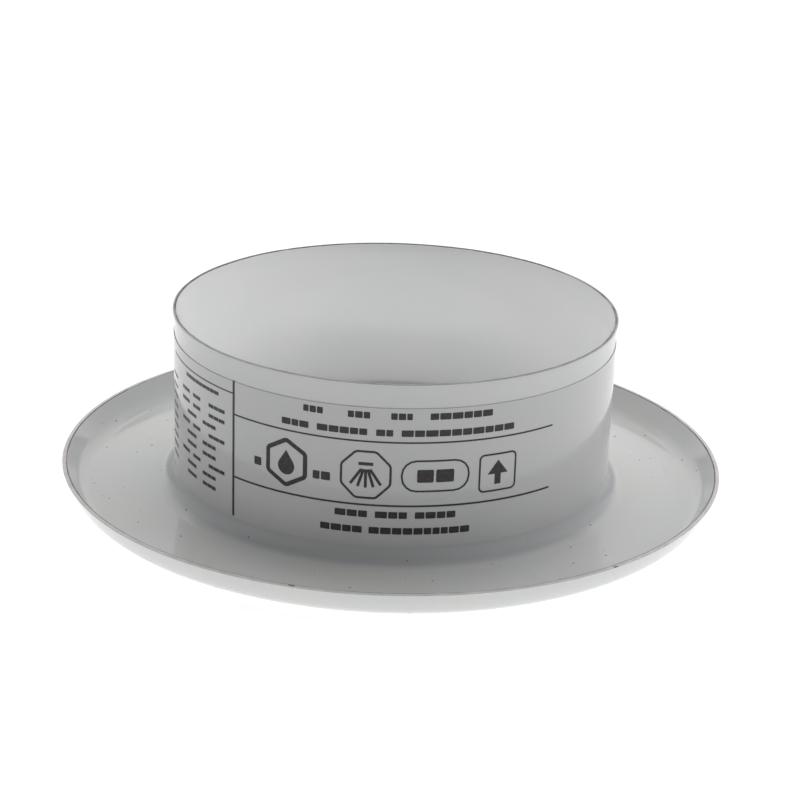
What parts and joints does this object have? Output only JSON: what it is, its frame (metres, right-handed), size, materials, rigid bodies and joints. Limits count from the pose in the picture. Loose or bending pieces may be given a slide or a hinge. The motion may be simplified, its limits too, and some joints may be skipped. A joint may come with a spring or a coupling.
{
  "type": "recessed sprinkler escutcheon",
  "caption": "Recessed fire sprinkler escutcheon: white drawn-steel closure ring with sleeve and dished flange, printed wrap label, and a mounting plate that slides in the sleeve.",
  "frame": {"origin": "centre of the visible face's plane, on the sleeve's axis; the part stands on that face", "axes": "+Z along the sleeve towards the ceiling void; +X to the right and -Y towards a viewer facing the print"},
  "size_m": [0.073, 0.073, 0.0203],
  "materials": {
    "white_enamel": "semi-gloss white enamel on steel, bare cut edges",
    "printed_film": null,
    "plate_enamel": "semi-gloss white enamel on steel, bare cut edges"
  },
  "bodies": {
    "closure": {"closure_ring": "white_enamel", "wrap_label": "printed_film"},
    "plate": {"mounting_plate": "plate_enamel"}
  },
  "joints": [
    {"name": "plate_slide", "type": "slide", "parent": "closure", "child": "plate", "axis": [0, 0, 1], "range_m": [0, 0.0168]}
  ]
}
